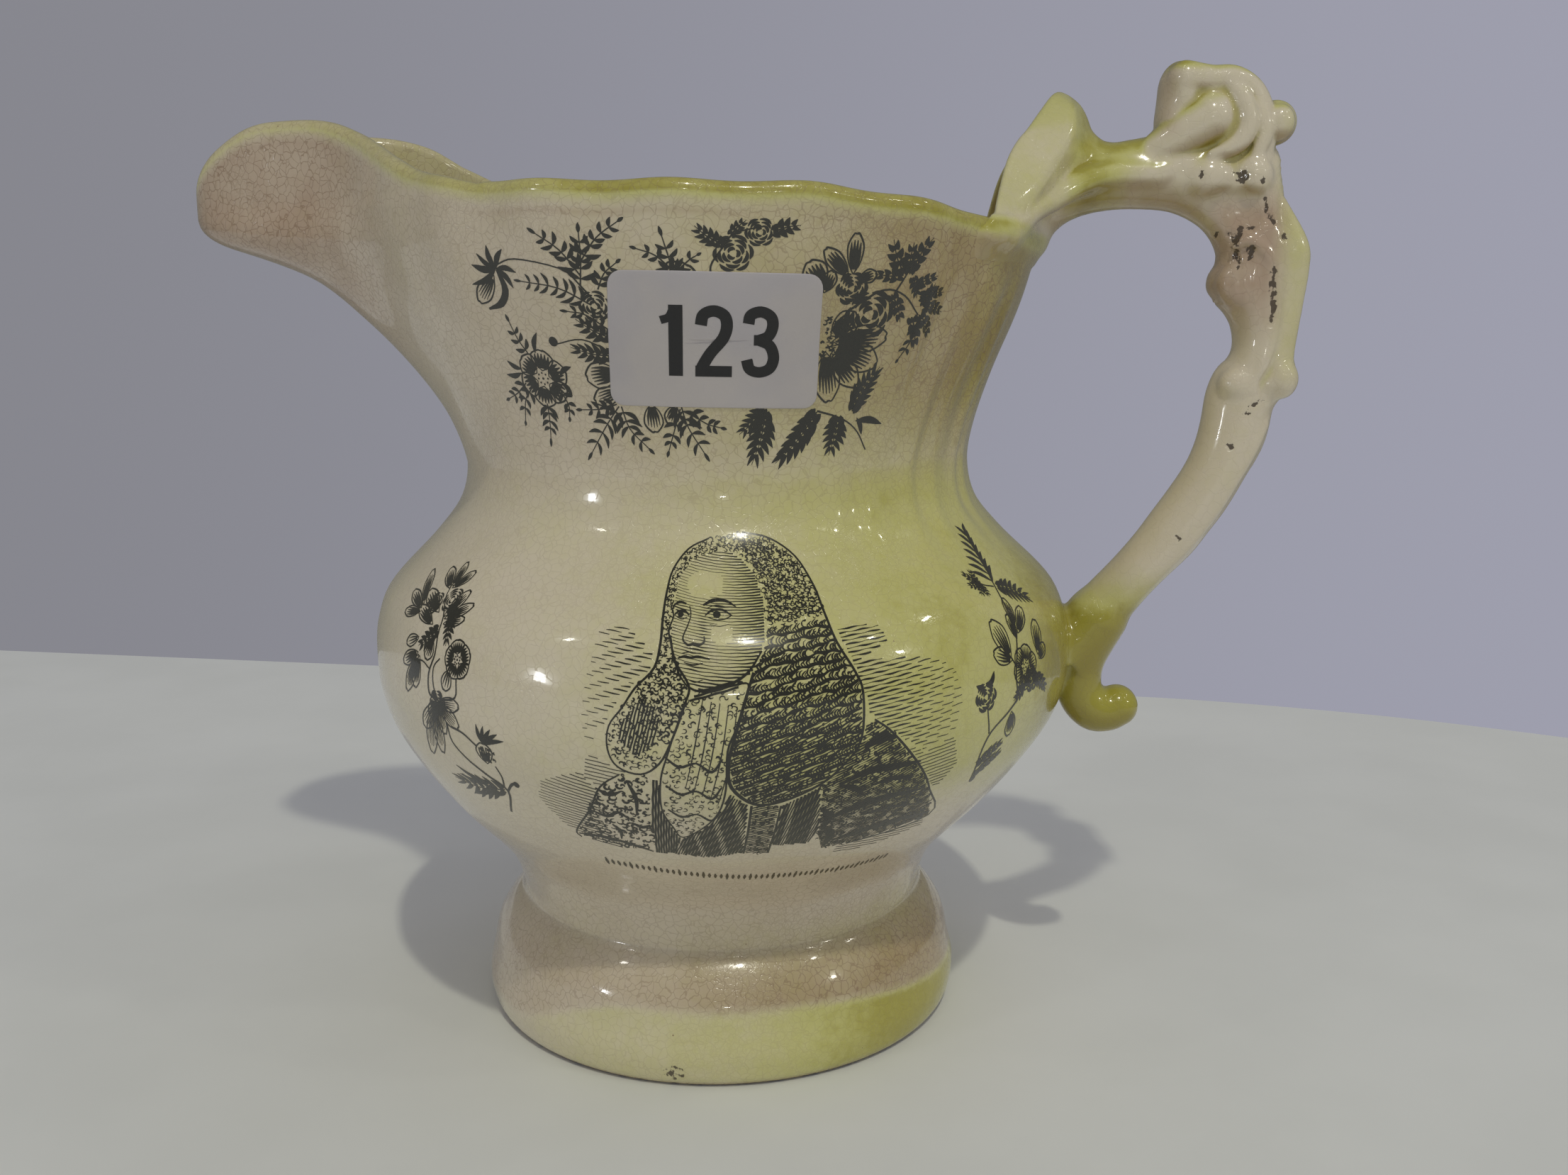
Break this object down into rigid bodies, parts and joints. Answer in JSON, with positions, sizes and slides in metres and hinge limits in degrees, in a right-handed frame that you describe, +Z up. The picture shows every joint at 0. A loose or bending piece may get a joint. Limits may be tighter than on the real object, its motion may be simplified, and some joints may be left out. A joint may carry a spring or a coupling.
{
  "type": "footed earthenware jug",
  "caption": "Footed cream-glazed earthenware jug with a broad pulled spout, printed sprays and portrait, and a scrolled handle with a thumb leaf.",
  "frame": {"origin": "middle of the bounding box's base, on the plane that the foot stands on; the jug's own axis is 4.1 mm towards -X", "axes": "+Z up, spout towards -X, handle towards +X, label and portrait on the -Y side"},
  "size_m": [0.2392, 0.1532, 0.205],
  "materials": {
    "glaze": "gloss, crazed, cream with a yellow-green pooling",
    "paper": "matt"
  },
  "bodies": {
    "root": {"foot": "glaze", "body": "glaze", "spout": "glaze", "handle": "glaze", "thumb_leaf": "glaze", "crest_scroll": "glaze", "tail_curl": "glaze", "lot_label": "paper"}
  },
  "joints": []
}
